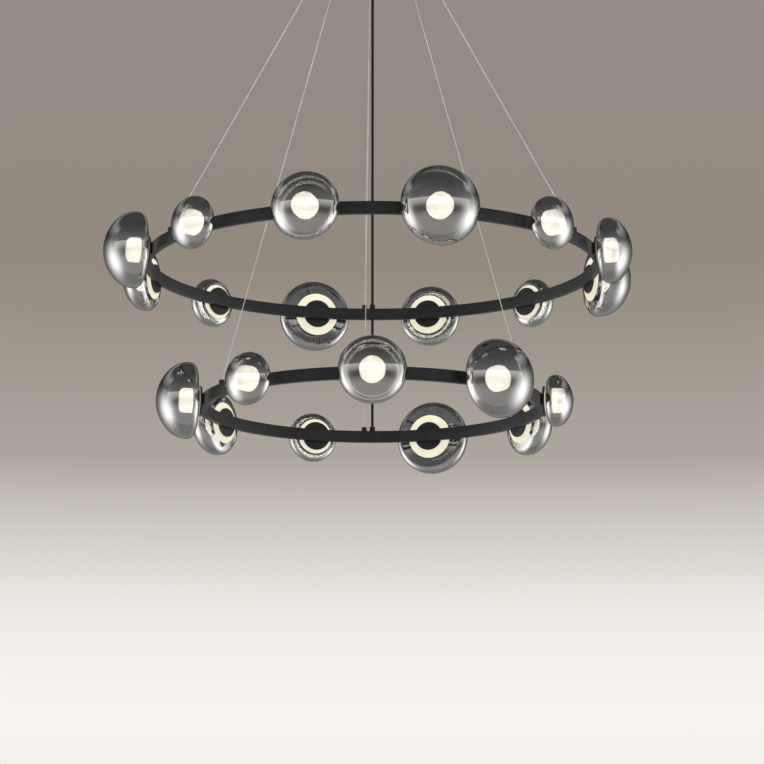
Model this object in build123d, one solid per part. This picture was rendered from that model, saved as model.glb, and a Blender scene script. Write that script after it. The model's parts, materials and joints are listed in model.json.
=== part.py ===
from build123d import *
import math
import os

# Two-ring chandelier with smoky glass lamps, hung by steel wires from a round canopy.
# Millimetres, +Z up. The ceiling plane is z = 0 and the canopy's axis is the Z axis.
# Angles on a ring are counted from the front (-Y), positive towards +X.

# Canopy cover
CANOPY_RADIUS = 120.0
CANOPY_HEIGHT = 40.0
CANOPY_WALL = 1.5
CANOPY_EDGE = 5.0

# Ceiling bracket and the two screws that hold the cover on it
BRACKET_WIDTH = 30.0
BRACKET_SHEET = 2.5
BRACKET_EAR = 18.0
BRACKET_GAP = 0.3
CEILING_HOLE_SPACING = 120.0
CEILING_HOLE_RADIUS = 2.75
SUPPLY_HOLE_RADIUS = 9.0
COVER_SCREW_DEPTH = 12.0
COVER_SCREW_RADIUS = 2.0
COVER_SCREW_HEAD_RADIUS = 4.5
COVER_SCREW_HEAD = 5.0
COVER_SCREW_TAIL = 4.0
SCREW_CLEARANCE = 0.05

# LED driver and terminal block on the floor of the canopy
DRIVER_LENGTH = 120.0
DRIVER_WIDTH = 36.0
DRIVER_HEIGHT = 24.0
DRIVER_EDGE = 2.0
DRIVER_Y = 42.0
TERMINAL_LENGTH = 40.0
TERMINAL_WIDTH = 18.0
TERMINAL_HEIGHT = 15.0
TERMINAL_Y = -48.0
TERMINAL_POLES = 4
TERMINAL_POLE_RADIUS = 2.2
TERMINAL_POLE_DEPTH = 6.0

# Rings: rolled rectangular tube
RING_HEIGHT = 21.0
RING_DEPTH = 10.0
RING_WALL = 1.5
UPPER_RING_RADIUS = 400.0
LOWER_RING_RADIUS = 300.0
UPPER_RING_DROP = 540.0
RING_SPACING = 254.0
UPPER_LAMPS = 12
LOWER_LAMPS = 9
UPPER_FIRST_ANGLE = -165.0
LOWER_FIRST_ANGLE = -160.0
UPPER_SIZES = "LSM"
LOWER_SIZES = "SML"

# Suspension wires, their locks in the canopy and their anchors on the rings
WIRE_RADIUS = 0.7
WIRE_SIDE_ANGLE = 60.0
UPPER_WIRE_INSET = 15.0
LOWER_WIRE_CIRCLE = 70.0
FAR_WIRE_SIDE_TOP = -5.0
FAR_WIRE_SIDE_RING = -15.0
WIRE_THROAT_RADIUS = 1.1
WIRE_FLARE_SLOPE = 0.9
LOCK_RADIUS = 7.0
LOCK_LENGTH = 12.0
LOCK_FLARE = 5.0
LOCK_STEM_RADIUS = 4.0
LOCK_NUT_RADIUS = 6.5
LOCK_NUT_HEIGHT = 4.0
ANCHOR_RADIUS = 4.8
ANCHOR_HEIGHT = 7.0
ANCHOR_FLARE = 3.5
ANCHOR_STEM_RADIUS = 2.0
STEM_CLEARANCE = 0.05
STEM_END = 2.0

# Power cables and their glands
CABLE_RADIUS = 2.4
UPPER_CABLE_Y = 14.0
LOWER_CABLE_Y = -14.0
CABLE_THROAT_RADIUS = 3.2
CABLE_FLARE_SLOPE = 1.2
CANOPY_GLAND_RADIUS = 8.0
CANOPY_GLAND_LENGTH = 11.0
CANOPY_GLAND_FLARE = 2.5
CANOPY_GLAND_STEM_RADIUS = 5.0
CANOPY_GLAND_NUT_RADIUS = 8.0
CANOPY_GLAND_NUT_HEIGHT = 4.0
RING_GLAND_RADIUS = 5.0
RING_GLAND_HEIGHT = 8.0
RING_GLAND_FLARE = 1.2
RING_GLAND_STEM_RADIUS = 4.2

# Lamps: distances along a lamp's axis start at the ring's outer face
LAMP_SEAT_GAP = 0.2
DISC_RADIUS = 26.0
DISC_THICKNESS = 4.0
DISC_EDGE = 1.2
NIPPLE_RADIUS = 5.0
NIPPLE_BORE = 3.0
NIPPLE_HEAD_RADIUS = 7.5
NIPPLE_HEAD = 2.5
NIPPLE_CLEARANCE = 0.05
NIPPLE_REACH = 6.0
PLATE_HUB_RADIUS = 20.0
PLATE_LEDGE = 0.5
PLATE_GAP = 0.3
WASHER_LAP = 3.0
WASHER_THICKNESS = 1.5
WASHER_BORE = 12.0
WASHER_GAP = 0.3
HOLDER_RADIUS = 16.0
HOLDER_LENGTH = 8.0
HOLDER_FLANGE = 2.5
BOARD_RADIUS = 15.0
BOARD_THICKNESS = 1.6
CHIP_RADIUS = 6.0
CHIP_THICKNESS = 0.8
CAP_RADIUS = 21.5
CAP_LENGTH = 21.0
CAP_WALL = 2.0
CAP_EDGE = 6.5
CAP_OVERLAP = 3.0
CAP_CLEARANCE = 0.08

# Glass shades: outside radius, back opening, depth in front of the widest circle, radius of the side
GLASS_WALL = 2.0
GLASS_RIM = 7.0
GLASS_SHOULDER = 14.0
GLASS_BACK_TILT = 10.0
GLASS_RADIUS_S = 45.0
GLASS_RADIUS_M = 57.0
GLASS_RADIUS_L = 66.5
GLASS_OPENING_S = 32.0
GLASS_OPENING_M = 37.0
GLASS_OPENING_L = 40.0
GLASS_FRONT_DEPTH_S = 31.0
GLASS_FRONT_DEPTH_M = 40.0
GLASS_FRONT_DEPTH_L = 55.0
GLASS_SIDE_RADIUS_S = 22.0
GLASS_SIDE_RADIUS_M = 29.0
GLASS_SIDE_RADIUS_L = 46.0
GLASS_RADIUS = {"S": GLASS_RADIUS_S, "M": GLASS_RADIUS_M, "L": GLASS_RADIUS_L}
GLASS_OPENING = {"S": GLASS_OPENING_S, "M": GLASS_OPENING_M, "L": GLASS_OPENING_L}
GLASS_FRONT_DEPTH = {"S": GLASS_FRONT_DEPTH_S, "M": GLASS_FRONT_DEPTH_M, "L": GLASS_FRONT_DEPTH_L}
GLASS_SIDE_RADIUS = {"S": GLASS_SIDE_RADIUS_S, "M": GLASS_SIDE_RADIUS_M, "L": GLASS_SIDE_RADIUS_L}

# Places that follow from the sizes above
UPPER_WIRE_CIRCLE = CANOPY_RADIUS - UPPER_WIRE_INSET
CANOPY_FLOOR = -CANOPY_HEIGHT + CANOPY_WALL
UPPER_RING_Z = -CANOPY_HEIGHT - UPPER_RING_DROP
LOWER_RING_Z = UPPER_RING_Z - RING_SPACING
WIRE_TOP_Z = -CANOPY_HEIGHT - LOCK_LENGTH + LOCK_FLARE
CABLE_TOP_Z = -CANOPY_HEIGHT - CANOPY_GLAND_LENGTH + CANOPY_GLAND_FLARE


def direction(angle):
    """Unit vector at an angle from the front, in the ring's plane."""
    turn = math.radians(angle)
    return Vector(math.sin(turn), -math.cos(turn), 0)


def tube_between(start, end, radius):
    """Straight round bar from one point to another."""
    run = Vector(*end) - Vector(*start)
    plane = Plane(origin=start, z_dir=run)
    bar = Cylinder(radius, run.length, align=(Align.CENTER, Align.CENTER, Align.MIN))
    return plane.location * bar


def turned(points):
    """Solid of revolution about Z from (radius, height) points."""
    face = make_face(Plane.XZ * Polyline(*points, close=True))
    return revolve(face, Axis.Z)


def post(radius, bottom, top):
    """Upright round bar between two heights."""
    bar = Cylinder(radius, top - bottom, align=(Align.CENTER, Align.CENTER, Align.MIN))
    return Pos(0, 0, bottom) * bar


def save(name, solids):
    """Write one node, a single solid or a group of them."""
    group = solids if isinstance(solids, list) else [solids]
    loose = [solid for shape in group for solid in shape.solids()]
    export_step(Compound(children=loose), os.path.join("parts", name + ".step"))


# Places of wires and cables


def wire_tops(circle):
    """Points where one ring's three wires leave their locks."""
    sides = [direction(turn) * circle for turn in (-WIRE_SIDE_ANGLE, WIRE_SIDE_ANGLE)]
    far = Vector(FAR_WIRE_SIDE_TOP, math.sqrt(circle**2 - FAR_WIRE_SIDE_TOP**2), 0)
    return [Vector(p.X, p.Y, WIRE_TOP_Z) for p in sides + [far]]


def anchor_places(ring_radius, ring_z):
    """Feet of one ring's three wire anchors, on the ring's upper face."""
    middle = ring_radius - RING_DEPTH / 2
    sides = [direction(turn) * middle for turn in (-WIRE_SIDE_ANGLE, WIRE_SIDE_ANGLE)]
    far = Vector(FAR_WIRE_SIDE_RING, math.sqrt(middle**2 - FAR_WIRE_SIDE_RING**2), 0)
    return [Vector(p.X, p.Y, ring_z + RING_HEIGHT / 2) for p in sides + [far]]


def gland_place(ring_radius, ring_z):
    """Foot of a ring's cable gland, at the back of the ring's upper face."""
    return Vector(0, ring_radius - RING_DEPTH / 2, ring_z + RING_HEIGHT / 2)


# Canopy


def canopy_cover():
    """Spun steel cup with holes for the locks, the glands and the side screws."""
    cup = post(CANOPY_RADIUS, -CANOPY_HEIGHT, 0)
    cup = fillet(cup.edges().group_by(Axis.Z)[0], CANOPY_EDGE)
    inside = post(CANOPY_RADIUS - CANOPY_WALL, CANOPY_FLOOR, CANOPY_WALL)
    inside = fillet(inside.edges().group_by(Axis.Z)[0], CANOPY_EDGE - CANOPY_WALL)
    cup -= inside
    for circle in (UPPER_WIRE_CIRCLE, LOWER_WIRE_CIRCLE):
        for top in wire_tops(circle):
            cup -= Pos(top.X, top.Y, -CANOPY_HEIGHT) * Cylinder(LOCK_STEM_RADIUS + STEM_CLEARANCE, CANOPY_HEIGHT)
    for y in (UPPER_CABLE_Y, LOWER_CABLE_Y):
        hole = Cylinder(CANOPY_GLAND_STEM_RADIUS + STEM_CLEARANCE, CANOPY_HEIGHT)
        cup -= Pos(0, y, -CANOPY_HEIGHT) * hole
    screw_line = Cylinder(COVER_SCREW_RADIUS + STEM_CLEARANCE, 3 * CANOPY_RADIUS)
    return cup - Pos(0, 0, -COVER_SCREW_DEPTH) * Rot(0, 90, 0) * screw_line


def bracket_reach():
    """Distance from the axis to the outer face of a bracket ear."""
    inner = CANOPY_RADIUS - CANOPY_WALL
    return math.sqrt(inner**2 - (BRACKET_WIDTH / 2) ** 2) - BRACKET_GAP


def ceiling_bracket():
    """Bent steel bar that is screwed to the ceiling and carries the cover."""
    reach = bracket_reach()
    top = (Align.CENTER, Align.CENTER, Align.MAX)
    bar = Box(2 * reach, BRACKET_WIDTH, BRACKET_SHEET, align=top)
    for side in (-1, 1):
        ear = Box(BRACKET_SHEET, BRACKET_WIDTH, BRACKET_EAR + BRACKET_SHEET, align=top)
        bar += Pos(side * (reach - BRACKET_SHEET / 2), 0, 0) * ear
        bar -= Pos(side * CEILING_HOLE_SPACING / 2, 0, 0) * Cylinder(CEILING_HOLE_RADIUS, 4 * BRACKET_SHEET)
    bar -= Cylinder(SUPPLY_HOLE_RADIUS, 4 * BRACKET_SHEET)
    thread = Cylinder(COVER_SCREW_RADIUS + SCREW_CLEARANCE, 2 * CANOPY_RADIUS)
    return bar - Pos(0, 0, -COVER_SCREW_DEPTH) * Rot(0, 90, 0) * thread


def cover_screws():
    """Two round-headed side screws, through the cover into the bracket's ears."""
    tail = bracket_reach() - BRACKET_SHEET - COVER_SCREW_TAIL
    head_at = CANOPY_RADIUS
    screw = turned([
        (0, tail),
        (COVER_SCREW_RADIUS, tail),
        (COVER_SCREW_RADIUS, head_at),
        (COVER_SCREW_HEAD_RADIUS, head_at),
        (COVER_SCREW_HEAD_RADIUS, head_at + COVER_SCREW_HEAD),
        (0, head_at + COVER_SCREW_HEAD),
    ])
    screw = Pos(0, 0, -COVER_SCREW_DEPTH) * Rot(0, 90, 0) * screw
    return [screw, Rot(0, 0, 180) * screw]


def led_driver():
    """Closed driver box that feeds the lamps."""
    box = Box(DRIVER_LENGTH, DRIVER_WIDTH, DRIVER_HEIGHT, align=(Align.CENTER, Align.CENTER, Align.MIN))
    box = fillet(box.edges().filter_by(Axis.Z), DRIVER_EDGE)
    return Pos(0, DRIVER_Y, CANOPY_FLOOR) * box


def terminal_block():
    """Screw terminal block for the mains supply."""
    block = Box(TERMINAL_LENGTH, TERMINAL_WIDTH, TERMINAL_HEIGHT, align=(Align.CENTER, Align.CENTER, Align.MIN))
    pitch = TERMINAL_LENGTH / TERMINAL_POLES
    for pole in range(TERMINAL_POLES):
        x = (pole + 0.5) * pitch - TERMINAL_LENGTH / 2
        block -= Pos(x, 0, TERMINAL_HEIGHT) * Cylinder(TERMINAL_POLE_RADIUS, 2 * TERMINAL_POLE_DEPTH)
    return Pos(0, TERMINAL_Y, CANOPY_FLOOR) * block


# Locks, anchors and glands


def flared(radius, bottom, top, throat, flare, slope, stem_radius, stem_end):
    """Round fitting with a stem and a throat that flares out at the free end.

    The free end is at the bottom height and the shoulder at the top one; stem_end is the stem's tip.
    """
    body = post(radius, min(bottom, top), max(bottom, top))
    body += post(stem_radius, min(top, stem_end), max(top, stem_end))
    body -= post(throat, min(bottom, stem_end), max(bottom, stem_end))
    inward = 1 if top > bottom else -1
    mouth = throat + flare * slope
    return body - turned([(0, bottom), (mouth, bottom), (throat, bottom + inward * flare), (0, bottom + inward * flare)])


def nut(stem_radius, radius, height):
    """Hexagon nut that stands on the canopy's floor."""
    block = extrude(RegularPolygon(radius, 6), height) - Cylinder(stem_radius + STEM_CLEARANCE, 4 * height)
    return Pos(0, 0, CANOPY_FLOOR) * block


def wire_lock():
    """Lock that grips a wire: threaded stem through the canopy, flared nose below it."""
    tip = CANOPY_FLOOR + LOCK_NUT_HEIGHT + STEM_END
    nose = -CANOPY_HEIGHT - LOCK_LENGTH
    return flared(LOCK_RADIUS, nose, -CANOPY_HEIGHT, WIRE_THROAT_RADIUS, LOCK_FLARE, WIRE_FLARE_SLOPE,
                  LOCK_STEM_RADIUS, tip)


def canopy_gland():
    """Gland that lets a power cable out of the canopy."""
    tip = CANOPY_FLOOR + CANOPY_GLAND_NUT_HEIGHT + STEM_END
    nose = -CANOPY_HEIGHT - CANOPY_GLAND_LENGTH
    return flared(CANOPY_GLAND_RADIUS, nose, -CANOPY_HEIGHT, CABLE_THROAT_RADIUS, CANOPY_GLAND_FLARE,
                  CABLE_FLARE_SLOPE, CANOPY_GLAND_STEM_RADIUS, tip)


def wire_anchor():
    """Stub on a ring's upper face that holds the end of a wire."""
    return flared(ANCHOR_RADIUS, ANCHOR_HEIGHT, 0, WIRE_THROAT_RADIUS, ANCHOR_FLARE, WIRE_FLARE_SLOPE,
                  ANCHOR_STEM_RADIUS, -RING_WALL - STEM_END)


def ring_gland():
    """Gland on a ring's upper face, where the power cable goes in."""
    return flared(RING_GLAND_RADIUS, RING_GLAND_HEIGHT, 0, CABLE_THROAT_RADIUS, RING_GLAND_FLARE,
                  CABLE_FLARE_SLOPE, RING_GLAND_STEM_RADIUS, -RING_WALL - STEM_END)


def wires(circle, ring_radius, ring_z):
    """Three straight wires from the locks to a ring's anchors."""
    lift = Vector(0, 0, ANCHOR_HEIGHT - ANCHOR_FLARE)
    feet = [place + lift for place in anchor_places(ring_radius, ring_z)]
    return [tube_between(top, foot, WIRE_RADIUS) for top, foot in zip(wire_tops(circle), feet)]


def cable(y, ring_radius, ring_z):
    """Straight power cable from a canopy gland to a ring's gland."""
    lift = Vector(0, 0, RING_GLAND_HEIGHT - RING_GLAND_FLARE)
    return tube_between(Vector(0, y, CABLE_TOP_Z), gland_place(ring_radius, ring_z) + lift, CABLE_RADIUS)


# Rings


def lamp_angles(count, first):
    """Angles of a ring's lamps, evenly spaced."""
    return [first + step * 360.0 / count for step in range(count)]


def lamp_location(ring_radius, ring_z, angle):
    """Place of a lamp: its axis is the local Z and points away from the ring."""
    outward = direction(angle)
    foot = outward * ring_radius + Vector(0, 0, ring_z)
    return Plane(origin=foot, x_dir=(0, 0, 1), z_dir=outward).location


def ring(ring_radius, ring_z, angles):
    """Hollow rolled tube with holes for the lamps, the anchors and the gland."""
    half = RING_HEIGHT / 2
    body = post(ring_radius, -half, half) - post(ring_radius - RING_DEPTH, -half, half)
    hollow = post(ring_radius - RING_WALL, -half + RING_WALL, half - RING_WALL)
    hollow -= post(ring_radius - RING_DEPTH + RING_WALL, -half, half)
    body = Pos(0, 0, ring_z) * (body - hollow)
    lamp_hole = Cylinder(NIPPLE_RADIUS + NIPPLE_CLEARANCE, RING_DEPTH)
    anchor_hole = Cylinder(ANCHOR_STEM_RADIUS + STEM_CLEARANCE, RING_HEIGHT)
    gland_hole = Cylinder(RING_GLAND_STEM_RADIUS + STEM_CLEARANCE, RING_HEIGHT)
    cuts = [lamp_location(ring_radius, ring_z, angle) * lamp_hole for angle in angles]
    cuts += [Pos(*place) * anchor_hole for place in anchor_places(ring_radius, ring_z)]
    cuts.append(Pos(*gland_place(ring_radius, ring_z)) * gland_hole)
    for cut in cuts:
        body -= cut
    return body


# Lamp pieces, each on the Z axis with the ring's outer face at z = 0


def shoulder_end(size):
    """Radius where the shade's round shoulder meets its slightly conical back."""
    return GLASS_RADIUS[size] - GLASS_SHOULDER * (1 - math.sin(math.radians(GLASS_BACK_TILT)))


def widest_at(size):
    """Distance of the shade's widest circle along the lamp's axis."""
    tilt = math.radians(GLASS_BACK_TILT)
    cone = (shoulder_end(size) - GLASS_OPENING[size]) * math.tan(tilt)
    return GLASS_RIM + cone + GLASS_SHOULDER * math.cos(tilt)


def washer_back(size):
    """Distance of the washer's back face, just clear of the glass inside the rim."""
    tilt = math.radians(GLASS_BACK_TILT)
    inner_shoulder = GLASS_SHOULDER - GLASS_WALL
    offset = GLASS_OPENING[size] + WASHER_LAP - GLASS_RADIUS[size] + GLASS_SHOULDER
    if offset > inner_shoulder * math.sin(tilt):
        glass = widest_at(size) - math.sqrt(inner_shoulder**2 - offset**2)
    else:
        glass = GLASS_RIM + GLASS_WALL / math.cos(tilt) + WASHER_LAP * math.tan(tilt)
    return glass + WASHER_GAP


def washer_front(size):
    """Distance of the washer's front face, where the lamp holder stands."""
    return washer_back(size) + WASHER_THICKNESS


def board_front(size):
    """Distance of the holder's front face, where the LED board lies."""
    return washer_front(size) + HOLDER_LENGTH + HOLDER_FLANGE


def bored(radius, bottom, top, bore):
    """Round plate with a middle hole."""
    return post(radius, bottom, top) - post(bore, bottom, top)


def lamp_disc(size):
    """Black disc between the ring and the lamp."""
    disc = post(DISC_RADIUS, LAMP_SEAT_GAP, LAMP_SEAT_GAP + DISC_THICKNESS)
    disc = fillet(disc.edges(), DISC_EDGE)
    return disc - post(NIPPLE_RADIUS + NIPPLE_CLEARANCE, LAMP_SEAT_GAP, LAMP_SEAT_GAP + DISC_THICKNESS)


def lamp_nipple(size):
    """Hollow threaded nipple with its head inside the ring; the lamp's leads run through it."""
    seat = -RING_WALL - LAMP_SEAT_GAP
    nipple = post(NIPPLE_RADIUS, seat, washer_front(size) + NIPPLE_REACH)
    nipple += post(NIPPLE_HEAD_RADIUS, seat - NIPPLE_HEAD, seat)
    return nipple - post(NIPPLE_BORE, seat - NIPPLE_HEAD, washer_front(size) + NIPPLE_REACH)


def shade_plate(size):
    """Plate on a hub that fills the shade's back opening."""
    back = LAMP_SEAT_GAP + DISC_THICKNESS
    ledge = GLASS_RIM - PLATE_LEDGE
    plate = post(PLATE_HUB_RADIUS, back, ledge)
    plate += post(GLASS_OPENING[size] - PLATE_GAP, ledge, washer_back(size))
    return plate - post(NIPPLE_RADIUS + NIPPLE_CLEARANCE, back, washer_back(size))


def shade_washer(size):
    """Washer inside the shade, wider than the opening, that keeps the glass on its plate."""
    reach = GLASS_OPENING[size] + WASHER_LAP
    return bored(reach, washer_back(size), washer_front(size), WASHER_BORE)


def lamp_holder(size):
    """Turned heat sink that carries the LED board and the opal cap."""
    back = washer_front(size)
    flange = back + HOLDER_LENGTH
    front = board_front(size)
    body = post(HOLDER_RADIUS, back, flange)
    body += post(CAP_RADIUS - CAP_WALL - CAP_CLEARANCE, flange, front)
    return body - post(NIPPLE_RADIUS + NIPPLE_CLEARANCE, back, back + NIPPLE_REACH)


def led_board(size):
    """Round LED board with its light-emitting patch."""
    back = board_front(size)
    board = post(BOARD_RADIUS, back, back + BOARD_THICKNESS)
    return board + post(CHIP_RADIUS, back + BOARD_THICKNESS, back + BOARD_THICKNESS + CHIP_THICKNESS)


def opal_cap(size):
    """Opal cup over the LED, with a rounded front edge."""
    back = board_front(size) - HOLDER_FLANGE - CAP_OVERLAP
    front = back + CAP_LENGTH
    cup = post(CAP_RADIUS, back, front)
    cup = fillet(cup.edges().group_by(Axis.Z)[-1], CAP_EDGE)
    inside = post(CAP_RADIUS - CAP_WALL, back, front - CAP_WALL)
    inside = fillet(inside.edges().group_by(Axis.Z)[-1], CAP_EDGE - CAP_WALL)
    return cup - inside


def dome(size, wall, back):
    """Solid dome inside the shade's outer face by one wall, down to a flat back at a given distance.

    Its outline is a crown arc about the axis, a side arc, a shoulder arc and a slightly conical back,
    each running smoothly into the next.
    """
    tilt = math.radians(GLASS_BACK_TILT)
    widest = widest_at(size)
    radius = GLASS_RADIUS[size]
    depth = GLASS_FRONT_DEPTH[size]
    side = GLASS_SIDE_RADIUS[size]
    crown = ((radius - side) ** 2 + depth**2 - side**2) / (2 * (depth - side))
    lean = math.degrees(math.atan2(crown - depth, radius - side))
    crown_arc = CenterArc((0, widest + depth - crown), crown - wall, lean, 90 - lean)
    side_arc = CenterArc((radius - side, widest), side - wall, 0, lean)
    bend = 90 - GLASS_BACK_TILT
    shoulder_arc = CenterArc((radius - GLASS_SHOULDER, widest), GLASS_SHOULDER - wall, -bend, bend)
    opening = GLASS_OPENING[size]
    rim = (opening, GLASS_RIM + wall / math.cos(tilt))
    outline = [crown_arc, side_arc, shoulder_arc, Line(rim, shoulder_arc @ 0)]
    outline += Polyline(crown_arc @ 1, (0, back), (opening, back), rim).edges()
    return revolve(Plane.XZ * make_face(outline), Axis.Z)


def shade(size):
    """Blown glass shade: flattened dome in front, rounded shoulder in to the back opening."""
    hollow = dome(size, GLASS_WALL, GLASS_RIM - 2 * GLASS_WALL)
    whole = dome(size, 0, GLASS_RIM - GLASS_WALL)
    mouth = post(GLASS_OPENING[size], GLASS_RIM - GLASS_WALL, GLASS_RIM)
    return whole - mouth - hollow


LAMP_PIECES = {
    "lamp_discs": lamp_disc,
    "lamp_nipples": lamp_nipple,
    "shade_plates": shade_plate,
    "shade_washers": shade_washer,
    "lamp_holders": lamp_holder,
    "led_boards": led_board,
    "opal_caps": opal_cap,
}


def save_ring(level, ring_radius, ring_z, angles, sizes, circle, cable_y):
    """Write every node that one ring carries, and the wires and cable that hold and feed it."""
    places = [lamp_location(ring_radius, ring_z, angle) for angle in angles]
    kinds = [sizes[index % len(sizes)] for index in range(len(angles))]
    save(level + "_ring", ring(ring_radius, ring_z, angles))
    save(level + "_wires", wires(circle, ring_radius, ring_z))
    save(level + "_cable", cable(cable_y, ring_radius, ring_z))
    save(level + "_wire_anchors", [Pos(*place) * wire_anchor() for place in anchor_places(ring_radius, ring_z)])
    save(level + "_ring_gland", Pos(*gland_place(ring_radius, ring_z)) * ring_gland())
    for name, make in LAMP_PIECES.items():
        shapes = {kind: make(kind) for kind in set(kinds)}
        save(level + "_" + name, [place * shapes[kind] for place, kind in zip(places, kinds)])
    glasses = {kind: shade(kind) for kind in set(kinds)}
    for index, (place, kind) in enumerate(zip(places, kinds), start=1):
        save("%s_shade_%02d" % (level, index), place * glasses[kind])


def main():
    """Write all nodes."""
    os.makedirs("parts", exist_ok=True)
    tops = wire_tops(UPPER_WIRE_CIRCLE) + wire_tops(LOWER_WIRE_CIRCLE)
    ways = [Vector(0, UPPER_CABLE_Y, 0), Vector(0, LOWER_CABLE_Y, 0)]
    lock_nut = nut(LOCK_STEM_RADIUS, LOCK_NUT_RADIUS, LOCK_NUT_HEIGHT)
    gland_nut = nut(CANOPY_GLAND_STEM_RADIUS, CANOPY_GLAND_NUT_RADIUS, CANOPY_GLAND_NUT_HEIGHT)
    save("canopy_cover", canopy_cover())
    save("ceiling_bracket", ceiling_bracket())
    save("cover_screws", cover_screws())
    save("led_driver", led_driver())
    save("terminal_block", terminal_block())
    save("wire_locks", [Pos(top.X, top.Y, 0) * wire_lock() for top in tops])
    save("lock_nuts", [Pos(top.X, top.Y, 0) * lock_nut for top in tops])
    save("canopy_glands", [Pos(*way) * canopy_gland() for way in ways])
    save("gland_nuts", [Pos(*way) * gland_nut for way in ways])
    save_ring("upper", UPPER_RING_RADIUS, UPPER_RING_Z, lamp_angles(UPPER_LAMPS, UPPER_FIRST_ANGLE),
              UPPER_SIZES, UPPER_WIRE_CIRCLE, UPPER_CABLE_Y)
    save_ring("lower", LOWER_RING_RADIUS, LOWER_RING_Z, lamp_angles(LOWER_LAMPS, LOWER_FIRST_ANGLE),
              LOWER_SIZES, LOWER_WIRE_CIRCLE, LOWER_CABLE_Y)


main()
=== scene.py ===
"""Dresses the two-ring chandelier: smoky glass lamps, satin black rings, steel wires, studio and camera."""

import json
import logging
import math
from dataclasses import dataclass, field
from enum import Enum
from typing import Any, Callable, Dict, List, Sequence, Tuple, Union

import bmesh
import bpy
import numpy as np
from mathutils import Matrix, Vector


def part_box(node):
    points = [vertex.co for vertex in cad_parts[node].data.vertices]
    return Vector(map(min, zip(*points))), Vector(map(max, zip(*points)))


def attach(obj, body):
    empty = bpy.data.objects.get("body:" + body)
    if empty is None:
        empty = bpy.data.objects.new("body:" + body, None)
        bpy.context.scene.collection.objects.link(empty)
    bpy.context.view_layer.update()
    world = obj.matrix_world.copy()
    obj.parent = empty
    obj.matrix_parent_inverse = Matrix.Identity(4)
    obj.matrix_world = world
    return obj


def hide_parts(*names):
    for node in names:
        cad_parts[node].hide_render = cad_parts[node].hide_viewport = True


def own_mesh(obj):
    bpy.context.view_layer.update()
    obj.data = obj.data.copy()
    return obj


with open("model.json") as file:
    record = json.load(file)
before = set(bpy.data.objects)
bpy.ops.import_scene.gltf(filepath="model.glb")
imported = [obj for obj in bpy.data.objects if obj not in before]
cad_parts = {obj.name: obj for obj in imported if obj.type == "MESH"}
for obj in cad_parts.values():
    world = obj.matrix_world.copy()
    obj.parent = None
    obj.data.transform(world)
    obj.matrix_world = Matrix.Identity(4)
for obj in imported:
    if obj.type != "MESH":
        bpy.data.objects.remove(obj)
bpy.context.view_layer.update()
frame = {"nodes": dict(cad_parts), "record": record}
LOG = logging.getLogger("chandelier")

Array = np.ndarray
Colour = Tuple[float, float, float]
Point = Tuple[float, float, float]
Rgba = Tuple[float, float, float, float]
Surface = Tuple[Array, Array]
Key = Union[int, str]
Inputs = Dict[Key, Any]
Tones = Tuple[Tuple[float, Colour], ...]

FULL_TURN = 2.0 * math.pi
QUARTER_TURN = math.pi / 2.0
ON_AXIS = 1e-9
MERGE_DISTANCE = 1e-7
SHARP_ANGLE = math.radians(50.0)
TUBE_COLUMNS = 18
TONE_ENDS = (0.3, 0.7)


class Level(Enum):
    """The chandelier's two tiers, by the first word of their node names."""

    UPPER = "upper"
    LOWER = "lower"


class Size(Enum):
    """Sizes of the glass shades."""

    SMALL = "S"
    MEDIUM = "M"
    LARGE = "L"


# Surfaces


def quads(rows: int, columns: int, close_rows: bool) -> Array:
    """Faces of a grid of points whose columns close on themselves.

    Args:
        rows: Number of points along the profile.
        columns: Number of points around.
        close_rows: Whether the last row joins the first one.

    Returns:
        One row of four point numbers for each face, wound so that the normals of a profile that runs
        anticlockwise in (radius, height) point outwards.
    """
    count = rows if close_rows else rows - 1
    row, column = np.meshgrid(np.arange(count), np.arange(columns), indexing="ij")
    after = (column + 1) % columns
    below = row * columns
    above = ((row + 1) % rows) * columns
    return np.stack([below + column, below + after, above + after, above + column], axis=-1).reshape(-1, 4)


def lathe(profile: Array, columns: int) -> Surface:
    """Surface of revolution: profile point (r, u) at turn t goes to (r cos t, r sin t, u).

    Args:
        profile: Points (radius, height), closed into a loop where neither end is on the axis.
        columns: Number of steps around the axis.

    Returns:
        The points and faces.
    """
    turn = np.linspace(0.0, FULL_TURN, columns, endpoint=False)
    radius, height = profile[:, :1], profile[:, 1:]
    points = np.stack([radius * np.cos(turn), radius * np.sin(turn), height + 0.0 * turn], axis=-1)
    on_axis = profile[0, 0] < ON_AXIS and profile[-1, 0] < ON_AXIS
    return points.reshape(-1, 3), quads(len(profile), columns, not on_axis)


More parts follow.
